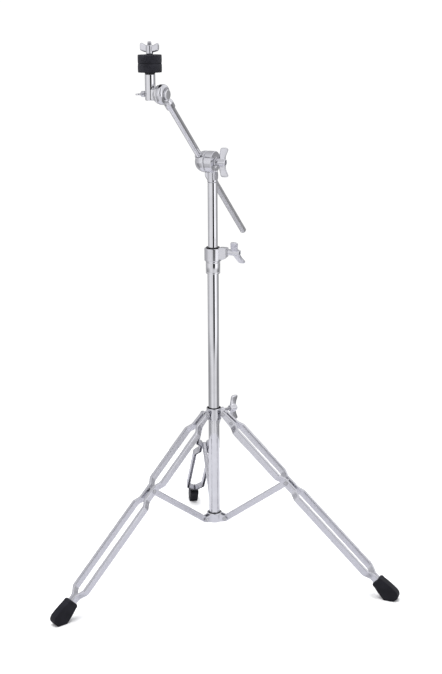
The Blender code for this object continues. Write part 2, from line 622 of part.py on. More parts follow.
def main():
    for obj in list(bpy.data.objects):
        bpy.data.objects.remove(obj, do_unlink=True)
    base()
    lower_collar()
    tube_joint()
    for side, azimuth in LEG_AZIMUTHS.items():
        leg(side, azimuth)
        stay(side, azimuth)
    upper_collar()
    upper_tube()
    along_boom = boom_holder(boom_bracket())
    boom(along_boom)
    tilter(along_boom)


main()
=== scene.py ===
# %% [markdown]
# # A cymbal boom stand, piece by piece
#
# The stand's working model is loaded as a fixed frame. Around it every visible part is modelled again at
# its finished quality: rolled channel legs, turned tubes, polished castings, wing nuts, rubber feet and
# wool felts. Each new piece stands exactly where the frame's own part is.

import json
import math

import bpy
from mathutils import Matrix, Vector

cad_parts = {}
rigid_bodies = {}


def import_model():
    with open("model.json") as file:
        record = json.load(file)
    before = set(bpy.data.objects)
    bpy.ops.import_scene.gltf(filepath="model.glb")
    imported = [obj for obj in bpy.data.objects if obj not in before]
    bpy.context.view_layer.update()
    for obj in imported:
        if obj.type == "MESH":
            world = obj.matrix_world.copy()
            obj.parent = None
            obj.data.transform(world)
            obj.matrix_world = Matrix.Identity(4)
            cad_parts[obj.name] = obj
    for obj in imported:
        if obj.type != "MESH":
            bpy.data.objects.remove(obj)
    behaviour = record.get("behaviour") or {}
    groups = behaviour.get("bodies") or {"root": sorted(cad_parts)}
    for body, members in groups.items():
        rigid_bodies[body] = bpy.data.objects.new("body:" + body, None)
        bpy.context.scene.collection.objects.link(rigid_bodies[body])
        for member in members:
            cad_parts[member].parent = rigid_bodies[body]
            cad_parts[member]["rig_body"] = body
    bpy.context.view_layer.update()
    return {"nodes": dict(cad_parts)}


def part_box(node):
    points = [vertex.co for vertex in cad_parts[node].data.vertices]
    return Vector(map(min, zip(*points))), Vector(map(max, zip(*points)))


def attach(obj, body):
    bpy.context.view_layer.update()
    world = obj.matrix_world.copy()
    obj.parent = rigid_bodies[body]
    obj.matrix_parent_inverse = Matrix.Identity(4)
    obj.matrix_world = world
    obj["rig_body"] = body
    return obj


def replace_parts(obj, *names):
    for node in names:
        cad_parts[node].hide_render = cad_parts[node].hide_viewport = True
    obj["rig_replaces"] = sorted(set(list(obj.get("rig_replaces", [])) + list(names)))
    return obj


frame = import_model()
MM = 0.001

# %% [markdown]
# ## Where things are
#
# All lengths below are millimetres. A direction round the tube is an azimuth, counted from the front
# (-Y) towards the right (+X). The tube's axis is read from the frame itself.

# %% Directions and places
base_low, base_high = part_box("base_tube")
TUBE_Y = (base_low.y + base_high.y) / 2 / MM
LEGS = {"right": 60.0, "left": -60.0, "rear": 180.0}
TOP_PIN, MID_PIN, LOWER_PIN = (22.5, 346.2), (157.7, 217.8), (24.5, 118.8)
UP = Vector((0, 0, 1))


def heading(azimuth):
    """The level direction at this azimuth in degrees."""
    turn = math.radians(azimuth)
    return Vector((math.sin(turn), -math.cos(turn), 0.0))


def on_tube(height):
    return Vector((0.0, TUBE_Y, height))


def axes(origin, x_axis, z_axis):
    """The matrix of a frame at origin, in millimetres, with these two axes."""
    x, z = Vector(x_axis).normalized(), Vector(z_axis).normalized()
    turn = Matrix((x, z.cross(x), z)).transposed().to_4x4()
    return Matrix.Translation(Vector(origin) * MM) @ turn


def shifted(x=0.0, y=0.0, z=0.0):
    return Matrix.Translation(Vector((x, y, z)) * MM)


ALONG_X = Matrix.Rotation(math.radians(90.0), 4, "Y")
ALONG_Y = Matrix.Rotation(math.radians(-90.0), 4, "X")
print("tube axis at y =", round(TUBE_Y, 2), "mm")

# %% [markdown]
# ## Camera
#
# The camera stands a little left of the stand's front, above the clamp, and looks down by 15 degrees.
# It is made first, because the lights are placed to suit it.

# %% Camera
CAMERA_TURN, CAMERA_DOWN, CAMERA_ROLL = math.radians(8.2), math.radians(15.3), math.radians(-0.26)
camera_data = bpy.data.cameras.new("studio_camera")
camera = bpy.data.objects.new("studio_camera", camera_data)
bpy.context.scene.collection.objects.link(camera)
CAMERA_SIDE, CAMERA_BACK, CAMERA_HEIGHT, CAMERA_LENS = 15.0, -2314.0, 1136.0, 64.5
camera_place = Vector(
    (
        CAMERA_SIDE * math.cos(CAMERA_TURN) + CAMERA_BACK * math.sin(CAMERA_TURN),
        -CAMERA_SIDE * math.sin(CAMERA_TURN) + CAMERA_BACK * math.cos(CAMERA_TURN) + TUBE_Y,
        CAMERA_HEIGHT,
    )
)
look = Vector(
    (
        math.sin(CAMERA_TURN) * math.cos(CAMERA_DOWN),
        math.cos(CAMERA_TURN) * math.cos(CAMERA_DOWN),
        -math.sin(CAMERA_DOWN),
    )
)
aim = look.to_track_quat("-Z", "Y").to_matrix().to_4x4()
camera.matrix_world = Matrix.Translation(camera_place * MM) @ aim @ Matrix.Rotation(CAMERA_ROLL, 4, "Z")
camera_data.sensor_width = 36.0
camera_data.lens = CAMERA_LENS
camera_data.clip_start, camera_data.clip_end = 0.05, 60.0
bpy.context.scene.camera = camera
print("camera at", [round(v, 3) for v in camera_place * MM])

# %% [markdown]
# ## Floor and light
#
# Chrome shows its surroundings, so the room is part of the finish. Its walls run through greys, with a
# dark opening in front and a bright panel beside it, so a polished tube shows a dark line next to a
# bright one. The low walls and the ceiling have tones of their own, for faces that lean. The camera
# sees plain white. The floor is a disc that holds the shadows, and the chrome sees it darker than the
# camera does.

# %% Floor
FLOOR_RADIUS = 720.0
bpy.ops.object.select_all(action="DESELECT")
bpy.ops.mesh.primitive_circle_add(
    vertices=128, radius=FLOOR_RADIUS * MM, fill_type="NGON", location=(0, TUBE_Y * MM, 0)
)
floor = bpy.context.object
floor.name = "studio_floor"
bpy.ops.object.mode_set(mode="EDIT")
bpy.ops.mesh.select_all(action="SELECT")
bpy.ops.mesh.inset(thickness=0.03)
bpy.ops.object.mode_set(mode="OBJECT")
bpy.ops.object.transform_apply(location=True, rotation=True, scale=True)
floor.location.z = -0.0002


def new_material(name):
    made = bpy.data.materials.new(name)
    made.use_nodes = True
    return made, made.node_tree.nodes, made.node_tree.links, made.node_tree.nodes["Principled BSDF"]


def mixed(tree_nodes, tree_links, factor, first, second):
    """A colour that runs from first to second, each of them a colour or a socket."""
    mix = tree_nodes.new("ShaderNodeMix")
    mix.data_type = "RGBA"
    tree_links.new(factor, mix.inputs["Factor"])
    for socket_name, value in (("A", first), ("B", second)):
        if isinstance(value, tuple):
            mix.inputs[socket_name].default_value = (*value, 1)
        else:
            tree_links.new(value, mix.inputs[socket_name])
    return mix.outputs["Result"]


def mapped(tree_nodes, tree_links, value, start, end, low=0.0, high=1.0):
    """This value, which runs from start to end, made to run from low to high."""
    spread = tree_nodes.new("ShaderNodeMapRange")
    spread.inputs["From Min"].default_value, spread.inputs["From Max"].default_value = start, end
    spread.inputs["To Min"].default_value, spread.inputs["To Max"].default_value = low, high
    tree_links.new(value, spread.inputs["Value"])
    return spread.outputs["Result"]


paper, nodes, links, shader = new_material("floor_paper")
place = nodes.new("ShaderNodeTexCoord")
grain = nodes.new("ShaderNodeTexNoise")
grain.inputs["Scale"].default_value = 3.0
tone = nodes.new("ShaderNodeValToRGB")
tone.color_ramp.elements[0].color = (0.93, 0.93, 0.93, 1)
tone.color_ramp.elements[1].color = (0.96, 0.96, 0.96, 1)
links.new(place.outputs["Object"], grain.inputs["Vector"])
links.new(grain.outputs["Fac"], tone.inputs["Fac"])
ray = nodes.new("ShaderNodeLightPath")
PAPER_IN_MIRRORS = (0.52, 0.52, 0.55)
paper_tone = mixed(nodes, links, ray.outputs["Is Camera Ray"], PAPER_IN_MIRRORS, tone.outputs["Color"])
links.new(paper_tone, shader.inputs["Base Color"])
shader.inputs["Roughness"].default_value = 0.9
shader.inputs["Specular IOR Level"].default_value = 0.1
floor.data.materials.append(paper)

# %% Room
world = bpy.data.worlds.new("studio_room")
bpy.context.scene.world = world
world.use_nodes = True
nodes, links = world.node_tree.nodes, world.node_tree.links
room = nodes["Background"]
direction = nodes.new("ShaderNodeTexCoord")
turned_room = nodes.new("ShaderNodeMapping")
turned_room.vector_type = "POINT"
around = nodes.new("ShaderNodeTexGradient")
around.gradient_type = "RADIAL"


def wall_ramp(stops):
    """A ramp of grey walls round the room, from the far wall round by the left and back."""
    ramp = nodes.new("ShaderNodeValToRGB")
    tones = ramp.color_ramp.elements
    tones[0].position, tones[-1].position = stops[0][0], stops[-1][0]
    for share, _ in stops[1:-1]:
        tones.new(share)
    for stop, (_, level) in zip(tones, stops):
        stop.color = (level, level, level * 1.03, 1)
    links.new(around.outputs["Fac"], ramp.inputs["Fac"])
    return ramp


WALLS = [(0.0, 0.34), (0.14, 0.50), (0.25, 0.66), (0.33, 0.92), (0.40, 0.86), (0.47, 0.80), (0.494, 0.78)]
WALLS += [(0.502, 0.01), (0.586, 0.01), (0.600, 1.25), (0.70, 1.25), (0.725, 0.50), (0.86, 0.34), (1.0, 0.34)]
LOW_WALLS = [(0.0, 0.55), (0.16, 0.50), (0.22, 0.28), (0.31, 0.52), (0.41, 0.92), (0.47, 0.80), (0.53, 0.66)]
LOW_WALLS += [(0.61, 0.88), (0.67, 0.72), (0.73, 0.24), (0.79, 0.24), (0.86, 0.50), (1.0, 0.55)]
walls, low_walls = wall_ramp(WALLS), wall_ramp(LOW_WALLS)
turned_room.inputs["Rotation"].default_value = (0, 0, math.radians(90.0) + CAMERA_TURN)
links.new(direction.outputs["Generated"], turned_room.inputs["Vector"])
links.new(turned_room.outputs["Vector"], around.inputs["Vector"])
height = nodes.new("ShaderNodeSeparateXYZ")
links.new(direction.outputs["Generated"], height.inputs["Vector"])
dado = mapped(nodes, links, height.outputs["Z"], -0.25, -0.19)
both_walls = mixed(nodes, links, dado, low_walls.outputs["Color"], walls.outputs["Color"])
ceiling = mapped(nodes, links, height.outputs["Z"], 0.06, 0.26)
CEILING = [(0.0, 0.50), (0.18, 0.66), (0.33, 0.80), (0.40, 1.20), (0.46, 0.40), (0.52, 0.16)]
CEILING += [(0.57, 0.80), (0.64, 1.25), (0.74, 0.80), (0.87, 1.0), (1.0, 0.50)]
lined_room = mixed(nodes, links, ceiling, both_walls, wall_ramp(CEILING).outputs["Color"])
seen = nodes.new("ShaderNodeLightPath").outputs["Is Camera Ray"]
PLAIN_WHITE = (1.05, 1.05, 1.05)
links.new(mixed(nodes, links, seen, lined_room, PLAIN_WHITE), room.inputs["Color"])
bpy.context.scene.view_settings.view_transform = "Standard"
print("room has", len(WALLS), "wall tones")

# %% Lamps


def softbox(name, place, size, power):
    """A square softbox that faces the middle of the stand."""
    lamp = bpy.data.lights.new(name, "AREA")
    lamp.shape, lamp.size, lamp.energy = "SQUARE", size, power
    holder = bpy.data.objects.new(name, lamp)
    bpy.context.scene.collection.objects.link(holder)
    away = Vector((0, TUBE_Y * MM, 0.45)) - Vector(place)
    holder.matrix_world = Matrix.Translation(place) @ away.to_track_quat("-Z", "Y").to_matrix().to_4x4()
    holder.visible_glossy = False  # it lights the floor; the chrome mirrors the room instead
    return holder


softbox("overhead_softbox", (-0.4, -0.3, 3.4), 3.0, 120.0)
softbox("left_softbox", (-2.6, -1.0, 1.9), 1.2, 12.0)

# %% [markdown]
# ## Finishes
#
# The stand has five metal finishes and three soft ones. Tubes have polished chrome, castings a
# softer chrome, strips a duller plate, the boom a knurl, and bolts and rivets zinc. Feet are rubber,
# bushes nylon and felts wool. Each is built from noise in the piece's own space: a patchy roughness, a
# little colour change and a fine bump. Metals differ mostly in how rough they are.

# %% Metals


def patches(material_nodes, material_links, source, scale, detail, low, high):
    """Noise at this scale, mapped to run between low and high."""
    noise = material_nodes.new("ShaderNodeTexNoise")
    noise.inputs["Scale"].default_value = scale
    noise.inputs["Detail"].default_value = detail
    material_links.new(source, noise.inputs["Vector"])
    return mapped(material_nodes, material_links, noise.outputs["Fac"], 0.3, 0.7, low, high)


def fine_bump(material_nodes, material_links, factor, shader_node, strength, depth):
    bump = material_nodes.new("ShaderNodeBump")
    bump.inputs["Strength"].default_value = strength
    bump.inputs["Distance"].default_value = depth * MM
    material_links.new(factor, bump.inputs["Height"])
    material_links.new(bump.outputs["Normal"], shader_node.inputs["Normal"])


def metal(name, dark, light, rough, grain_scale, bump_strength):
    """A metal with hazy patches in its gloss and a fine grain."""
    made, made_nodes, made_links, made_shader = new_material(name)
    where = made_nodes.new("ShaderNodeTexCoord").outputs["Object"]
    haze = patches(made_nodes, made_links, where, 55.0, 4.0, 0.0, 1.0)
    made_links.new(mixed(made_nodes, made_links, haze, dark, light), made_shader.inputs["Base Color"])
    gloss = patches(made_nodes, made_links, where, 90.0, 4.0, *rough)
    made_links.new(gloss, made_shader.inputs["Roughness"])
    lines = patches(made_nodes, made_links, where, grain_scale, 2.0, 0.0, 1.0)
    fine_bump(made_nodes, made_links, lines, made_shader, bump_strength, 0.05)
    made_shader.inputs["Metallic"].default_value = 1.0
    return made


CHROME = metal("polished_chrome", (0.76, 0.76, 0.78), (0.82, 0.82, 0.84), (0.05, 0.09), 900.0, 0.015)
CASTING = metal("chromed_casting", (0.70, 0.70, 0.73), (0.76, 0.76, 0.79), (0.10, 0.15), 420.0, 0.018)
PLATED = metal("plated_strip", (0.655, 0.655, 0.69), (0.69, 0.69, 0.725), (0.25, 0.29), 500.0, 0.012)
KNURLED = metal("knurled_steel", (0.58, 0.58, 0.59), (0.66, 0.66, 0.67), (0.38, 0.48), 900.0, 0.15)
ZINC = metal("zinc_steel", (0.50, 0.50, 0.52), (0.60, 0.60, 0.62), (0.25, 0.38), 800.0, 0.10)

# %% [markdown]
# Rubber is matt, with a dusty bloom and tiny pores. Nylon is a little glossier and smoother. Felt
# scatters light in its fibres, so it gets sheen and a deep bump.

# %% Rubber, nylon and felt


def soft_black(name, dark, light, rough, pore_scale, bump_strength, depth, shine):
    made, made_nodes, made_links, made_shader = new_material(name)
    where = made_nodes.new("ShaderNodeTexCoord").outputs["Object"]
    bloom = patches(made_nodes, made_links, where, 60.0, 4.0, 0.0, 1.0)
    made_links.new(mixed(made_nodes, made_links, bloom, dark, light), made_shader.inputs["Base Color"])
    made_links.new(patches(made_nodes, made_links, where, 120.0, 3.0, *rough), made_shader.inputs["Roughness"])
    pores = patches(made_nodes, made_links, where, pore_scale, 3.0, 0.0, 1.0)
    fine_bump(made_nodes, made_links, pores, made_shader, bump_strength, depth)
    made_shader.inputs["Specular IOR Level"].default_value = shine
    return made, made_shader


RUBBER, _ = soft_black(
    "foot_rubber", (0.006, 0.006, 0.009), (0.013, 0.013, 0.018), (0.42, 0.60), 1400.0, 0.25, 0.15, 0.18
)
NYLON, _ = soft_black(
    "black_nylon_moulding", (0.010, 0.010, 0.012), (0.02, 0.02, 0.023), (0.32, 0.45), 900.0, 0.1, 0.05, 0.3
)
WOOL, wool_shader = soft_black(
    "pressed_wool", (0.010, 0.010, 0.014), (0.028, 0.028, 0.036), (0.90, 1.0), 2200.0, 0.8, 0.4, 0.1
)
wool_shader.inputs["Sheen Weight"].default_value = 0.08
wool_shader.inputs["Sheen Roughness"].default_value = 0.6
print("finishes:", [m.name for m in (CHROME, CASTING, PLATED, KNURLED, ZINC, RUBBER, NYLON, WOOL)])

# %% [markdown]
# ## The workshop
#
# Two moves make most pieces. A profile drawn as a chain of vertices is spun round into a turned part,
# as on a lathe. An outline drawn the same way is filled and extruded into a plate. The rest is
# joining, cutting, rounding, and handing each finished piece over to the body it moves with.

# %% Drawing, spinning and extruding


def clear():
    """Back to object mode with nothing selected."""
    active = bpy.context.view_layer.objects.active
    if active is not None and active.mode != "OBJECT":
        bpy.ops.object.mode_set(mode="OBJECT")
    bpy.ops.object.select_all(action="DESELECT")


def pick(obj):
    clear()
    obj.select_set(True)
    bpy.context.view_layer.objects.active = obj


def chain(name, points):
    """A chain of vertices through these points, left open in edit mode with all of it selected."""
    clear()
    bpy.ops.mesh.primitive_plane_add(size=MM)
    obj = bpy.context.object
    obj.name = obj.data.name = name
    bpy.ops.object.mode_set(mode="EDIT")
    bpy.ops.mesh.select_all(action="SELECT")
    bpy.ops.mesh.merge(type="CENTER")
    spots = [Vector(p) * MM for p in points]
    bpy.ops.transform.translate(value=spots[0])
    for near, far in zip(spots, spots[1:]):
        bpy.ops.mesh.extrude_vertices_move(TRANSFORM_OT_translate={"value": far - near})
    bpy.ops.mesh.select_all(action="SELECT")
    return obj


def close_up():
    """Merges doubles and turns the faces outwards, then leaves edit mode."""
    bpy.ops.mesh.select_all(action="SELECT")
    bpy.ops.mesh.remove_doubles(threshold=0.000004)
    bpy.ops.mesh.normals_make_consistent(inside=False)
    bpy.ops.object.mode_set(mode="OBJECT")


def rounded(points, radius, steps=3):
    """The same line with its corners rounded."""
    spots = [Vector(p) for p in points]
    line = [spots[0]]
    for before, corner, after in zip(spots, spots[1:], spots[2:]):
        back_way, on_way = before - corner, after - corner
        reach = min(radius, back_way.length * 0.45, on_way.length * 0.45)
        start, end = corner + back_way.normalized() * reach, corner + on_way.normalized() * reach
        for n in range(steps + 1):
            t = n / steps
            line.append(start * (1 - t) ** 2 + corner * 2 * t * (1 - t) + end * t * t)
    return line + [spots[-1]]


def turn_up(name, profile, sides=64, radius=0.5, steps=3, place=None):
    """A turned piece from (radius, height) points. A bored piece's profile ends where it starts."""
    spots = [tuple(p) for p in profile]
    closed = spots[0] == spots[-1]
    if closed:  # start in the middle of an edge, so that every corner is rounded
        middle = tuple((a + b) / 2 for a, b in zip(spots[0], spots[1]))
        spots = [middle] + spots[1:] + [middle]
    line = rounded(spots, radius, steps) if radius else [Vector(p) for p in spots]
    obj = chain(name, [(p[0], 0.0, p[1]) for p in line])
    bpy.ops.mesh.spin(steps=sides, angle=math.tau, center=(0, 0, 0), axis=(0, 0, 1))
    close_up()
    return put(obj, place)


def bored_ring(name, inner, outer, low, high, sides, radius, place, steps=3):
    """A plain ring between two radii and two heights."""
    profile = [(inner, low), (outer, low), (outer, high), (inner, high), (inner, low)]
    return turn_up(name, profile, sides, radius, steps, place)


def plate(name, outline, low, high, radius=0.8, steps=4, edge=0.5, place=None):
    """An outline in the XZ plane, its corners rounded, extruded along Y and with softened edges."""
    spots = [Vector((u, v)) for u, v in outline]
    middle = (spots[0] + spots[1]) / 2
    line = rounded([middle] + spots[1:] + [spots[0], middle], radius, steps)
    obj = chain(name, [(p[0], low, p[1]) for p in line])
    bpy.ops.mesh.remove_doubles(threshold=0.000004)
    bpy.ops.mesh.edge_face_add()
    bpy.ops.mesh.extrude_region_move(TRANSFORM_OT_translate={"value": (0, (high - low) * MM, 0)})
    close_up()
    if edge:
        soften(obj, edge)
    return put(obj, place)


def choose_faces(obj, wanted):
    """Enters edit mode with just the faces selected whose middle and normal are wanted."""
    pick(obj)
    bpy.ops.object.mode_set(mode="EDIT")
    bpy.ops.mesh.select_mode(type="FACE")
    bpy.ops.mesh.select_all(action="DESELECT")
    bpy.ops.object.mode_set(mode="OBJECT")
    for face in obj.data.polygons:
        face.select = wanted(face.center / MM, face.normal)
    bpy.ops.object.mode_set(mode="EDIT")


def use_modifier(obj, kind, **settings):
    pick(obj)
    modifier = obj.modifiers.new(kind.lower(), kind)
    for key, value in settings.items():
        setattr(modifier, key, value)
    bpy.ops.object.modifier_apply(modifier=modifier.name)
    return obj


def soften(obj, width, segments=2, angle=35.0):
    return use_modifier(
        obj, "BEVEL", width=width * MM, segments=segments, limit_method="ANGLE", angle_limit=math.radians(angle)
    )


def put(obj, place):
    """Moves the piece to its place and writes the place into its mesh."""
    if place is not None:
        pick(obj)
        obj.matrix_world = place
        bpy.ops.object.transform_apply(location=True, rotation=True, scale=True)
    return obj


def copy_of(obj, name, place=None):
    twin = obj.copy()
    twin.data = obj.data.copy()
    twin.name = twin.data.name = name
    bpy.context.scene.collection.objects.link(twin)
    return put(twin, place)


# %% Joining, cutting and casting


def weld(obj, *tools):
    """Puts closed shapes that overlap into one object. cast() then makes them one solid."""
    pick(obj)
    for tool in tools:
        tool.select_set(True)
    bpy.ops.object.join()
    return obj


def cut(obj, tool):
    use_modifier(obj, "BOOLEAN", operation="DIFFERENCE", object=tool, solver="EXACT")
    bpy.data.objects.remove(tool)
    return obj


def drill(obj, radius, low, high, sides, place):
    """Cuts a round hole between two heights along local Z."""
    return cut(obj, turn_up("drill", [(0, low), (radius, low), (radius, high), (0, high)], sides, 0, 1, place))


def cast(obj, grain=0.5, passes=6):
    """Runs one skin over joined shapes and polishes it, which leaves the small fillets of a casting."""
    use_modifier(obj, "REMESH", mode="VOXEL", voxel_size=grain * MM, use_smooth_shade=True)
    return use_modifier(obj, "SMOOTH", factor=0.5, iterations=passes)


finished = []


def hand_over(obj, nodes_replaced, finish, smooth=40.0):
    """Gives the piece its finish and its body, and hides the frame's own plain parts."""
    if isinstance(nodes_replaced, str):
        nodes_replaced = [nodes_replaced]
    obj.data.materials.clear()
    obj.data.materials.append(finish)
    pick(obj)
    bpy.ops.object.shade_smooth_by_angle(angle=math.radians(smooth))
    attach(obj, frame["nodes"][nodes_replaced[0]]["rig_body"])
    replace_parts(obj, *nodes_replaced)
    finished.append(obj)
    return obj


print("workshop ready")

# %% [markdown]
# ## Base tube
#
# The base tube is a 22 mm drawn steel tube. It could be a cylinder primitive, but a spun profile also
# gives it its wall and the rolled lip at each end, so that is how all the tubes are made. The band
# under the joint is a separate sleeve with a shallow groove at each end.

# %% Base tube, plug and band
upright = axes(on_tube(0.0), (1, 0, 0), UP)
tube = bored_ring("base_tube_chromed", 9.9, 11.1, 112.0, 668.0, 96, 0.3, upright)
hand_over(tube, "base_tube", CHROME)
plug_profile = [(0, 111.2), (5.5, 111.2), (6.3, 110.0), (11.1, 110.0), (11.1, 111.7), (9.6, 111.7)]
plug = turn_up("bottom_plug_nylon", plug_profile + [(9.6, 123.7), (0, 123.7)], 64, 0.4, 3, upright)
hand_over(plug, "bottom_plug", NYLON)
band_profile = [(11.4, 633.0), (14.15, 633.0), (14.15, 635.4), (13.8, 635.7), (13.8, 636.1), (14.15, 636.4)]
band_profile += [(14.15, 654.2), (13.8, 654.5), (13.8, 654.9), (14.15, 655.2), (14.15, 657.7), (11.4, 657.7)]
band = turn_up("joint_band_chromed", band_profile + [(11.4, 633.0)], 96, 0.35, 3, upright)
hand_over(band, "joint_ferrule", CHROME)
print("base tube:", [round(v * 1000, 1) for v in tube.dimensions], "mm")

# %% [markdown]
# ## Rivets
#
# Every pin of the tripod is a set rivet with a low dome at each end. All are turned from one profile,
# at three lengths.

# %% Rivets


def rivet(node_name, reach, head, place):
    low, high = reach + 0.3, reach + 2.3
    half = [(2.0, 0.0), (2.0, low), (head, low), (head * 0.96, low + 0.5), (head * 0.72, high - 0.45)]
    half += [(head * 0.34, high - 0.06), (0.0, high)]
    profile = [(r, -z) for r, z in reversed(half[1:])] + half[1:]
    made = turn_up(f"{node_name}_domed", profile, 32, 0.25, 2, place @ ALONG_Y)
    return hand_over(made, node_name, ZINC)


def radial(azimuth, height):
    """A frame on the tube's axis with X level, pointing out at this azimuth."""
    return axes(on_tube(height), heading(azimuth), UP)


PINCH_ALONG = 25.0
leg_lean = math.atan2(MID_PIN[0] - TOP_PIN[0], TOP_PIN[1] - MID_PIN[1])
mid_along = math.hypot(MID_PIN[0] - TOP_PIN[0], TOP_PIN[1] - MID_PIN[1])


def down_leg(azimuth):
    """A leg's frame: X runs down the leg from its top pin, Z stands off its upper face."""
    out = heading(azimuth)
    down = out * math.sin(leg_lean) - UP * math.cos(leg_lean)
    above = out * math.cos(leg_lean) + UP * math.sin(leg_lean)
    return axes(on_tube(TOP_PIN[1]) + out * TOP_PIN[0], down, above)


for side_name, azimuth in LEGS.items():
    leg_frame = down_leg(azimuth)
    rivet(f"lower_rivet_{side_name}", 7.1, 4.3, radial(azimuth, LOWER_PIN[1]) @ shifted(LOWER_PIN[0]))
    rivet(f"top_rivet_{side_name}", 9.7, 4.5, leg_frame)
    rivet(f"pinch_rivet_{side_name}", 9.7, 3.5, leg_frame @ shifted(PINCH_ALONG))
    rivet(f"mid_rivet_{side_name}", 10.9, 4.5, leg_frame @ shifted(mid_along))
print("rivets set:", len([o for o in finished if "rivet" in o.name]))

# %% [markdown]
# ## Leg strips
#
# Each leg is two rolled channels, open underneath, that lean apart between their rivets and pinch
# together at them. The section is drawn once, filled, and extruded station by station along the leg.
# Between two stations the offset follows an S curve, because the press bends steel and never folds it
# sharp. Towards the top pin the depth tapers off, which leaves the sliding collar room.

# %% Channel section
STRIP_WIDTH, STRIP_DEPTH, STRIP_WALL, SPREAD = 6.8, 13.6, 1.3, 13.9
PIN_HOLE = 2.2


def channel(width, depth, wall, corner, steps=5):
    """A channel's outline as (across, up): its web on top, open underneath."""
    half = depth / 2
    outer = [(width, -half), (width, half), (0.0, half), (0.0, -half)]
    inner = [(wall, -half), (wall, half - wall), (width - wall, half - wall), (width - wall, -half)]
    return rounded(outer, corner, steps) + rounded(inner, max(corner - wall, 0.4), steps)


def ease(t):
    return t * t * (3 - 2 * t)


def strip_route():
    """(along, inner edge's offset, depth) down the strip."""
    knees = [(28.0, 2.9), (46.0, SPREAD), (mid_along - 23.0, SPREAD), (mid_along - 6.0, 4.1)]
    knees += [(mid_along + 21.0, 4.1), (mid_along + 39.0, SPREAD), (418.0, SPREAD), (440.0, 0.3)]
    knees += [(468.0, 0.3)]
    route = [(-4.6, 2.9, 4.4), (-4.1, 2.9, 6.2), (-3.0, 2.9, 8.0), (-1.0, 2.9, 9.4), (1.5, 2.9, 10.2)]
    route += [(10.0, 2.9, 11.2), (20.0, 2.9, 12.6), (28.0, 2.9, STRIP_DEPTH)]
    for (start, low), (end, high) in zip(knees, knees[1:]):
        count = 10 if low != high else 4
        for n in range(1, count + 1):
            t = n / count
            route.append((start + (end - start) * t, low + (high - low) * ease(t), STRIP_DEPTH))
    return route


def run_along(name, section, route, sign=1, full=1.0):
    """Extrudes a filled section down a route of (along, offset, depth), full being its own depth."""
    start, offset, depth = route[0]
    obj = chain(name, [(start, sign * (offset + u), v * depth / full) for u, v in section])
    bpy.ops.mesh.edge_face_add()
    for (a, off_a, dep_a), (b, off_b, dep_b) in zip(route, route[1:]):
        step = Vector((b - a, sign * (off_b - off_a), 0)) * MM
        bpy.ops.mesh.extrude_region_move(TRANSFORM_OT_translate={"value": step})
        if dep_a != dep_b:
            bpy.ops.transform.resize(value=(1, 1, dep_b / dep_a), center_override=(0, 0, 0))
    close_up()
    return obj


section = channel(STRIP_WIDTH, STRIP_DEPTH, STRIP_WALL, 2.6)
print("section has", len(section), "points; route has", len(strip_route()), "stations")

# %% Strips on the three legs
for letter, sign in (("a", 1), ("b", -1)):
    strip = run_along("strip_pattern", section, strip_route(), sign, STRIP_DEPTH)
    low, high = sorted((sign * 0.5, sign * 14.0))
    for along in (0.0, PINCH_ALONG, mid_along):
        drill(strip, PIN_HOLE, low, high, 20, shifted(along) @ ALONG_Y)
    for side_name, azimuth in LEGS.items():
        made = copy_of(strip, f"leg_{side_name}_{letter}_plated", down_leg(azimuth))
        hand_over(made, f"leg_strip_{side_name}_{letter}", PLATED, 50.0)
    bpy.data.objects.remove(strip)
print("strips:", len([o for o in finished if o.name.startswith("leg_")]))

# %% [markdown]
# ## Stays
#
# A stay is one short channel, open below, between the lower collar and the leg's middle rivet. Its
# ends are nipped in so that they clear the collar as the tripod folds.

# %% Stays
stay_lean = math.atan2(MID_PIN[0] - LOWER_PIN[0], MID_PIN[1] - LOWER_PIN[1])
stay_length = math.hypot(MID_PIN[0] - LOWER_PIN[0], MID_PIN[1] - LOWER_PIN[1])
STAY_WIDTH, STAY_DEPTH = 7.4, 12.4


def up_stay(azimuth):
    out = heading(azimuth)
    up = out * math.sin(stay_lean) + UP * math.cos(stay_lean)
    above = UP * math.sin(stay_lean) - out * math.cos(stay_lean)
    return axes(on_tube(LOWER_PIN[1]) + out * LOWER_PIN[0], up, above)


half_width = STAY_WIDTH / 2
stay_section = [(u - half_width, v) for u, v in channel(STAY_WIDTH, STAY_DEPTH, 1.2, 2.2)]
ends = [(-5.4, 0.40), (-4.6, 0.62), (-3.4, 0.80), (-1.6, 0.93), (0.5, 1.0), (6.0, 1.0)]
stations = ends + [(stay_length / 2, 1.0)] + [(stay_length - a, s) for a, s in reversed(ends)]
stay = run_along("stay_pattern", stay_section, [(along, 0.0, share) for along, share in stations])
for along in (0.0, stay_length):
    drill(stay, PIN_HOLE, -8, 8, 20, shifted(along) @ ALONG_Y)
for side_name, azimuth in LEGS.items():
    made = copy_of(stay, f"stay_{side_name}_plated", up_stay(azimuth))
    hand_over(made, f"stay_{side_name}", PLATED, 50.0)
bpy.data.objects.remove(stay)
print("stay length between pins:", round(stay_length, 1), "mm")

# %% [markdown]
# ## Rubber feet
#
# A foot is a moulded rubber boot pulled over the end of both strips. Seen along the leg it is a rounded
# slab. From the side it flares towards the floor, with a dent behind its mouth. So its side outline is
# drawn and extruded across, and a wide bevel rounds it. A bisect at floor height flattens the sole.

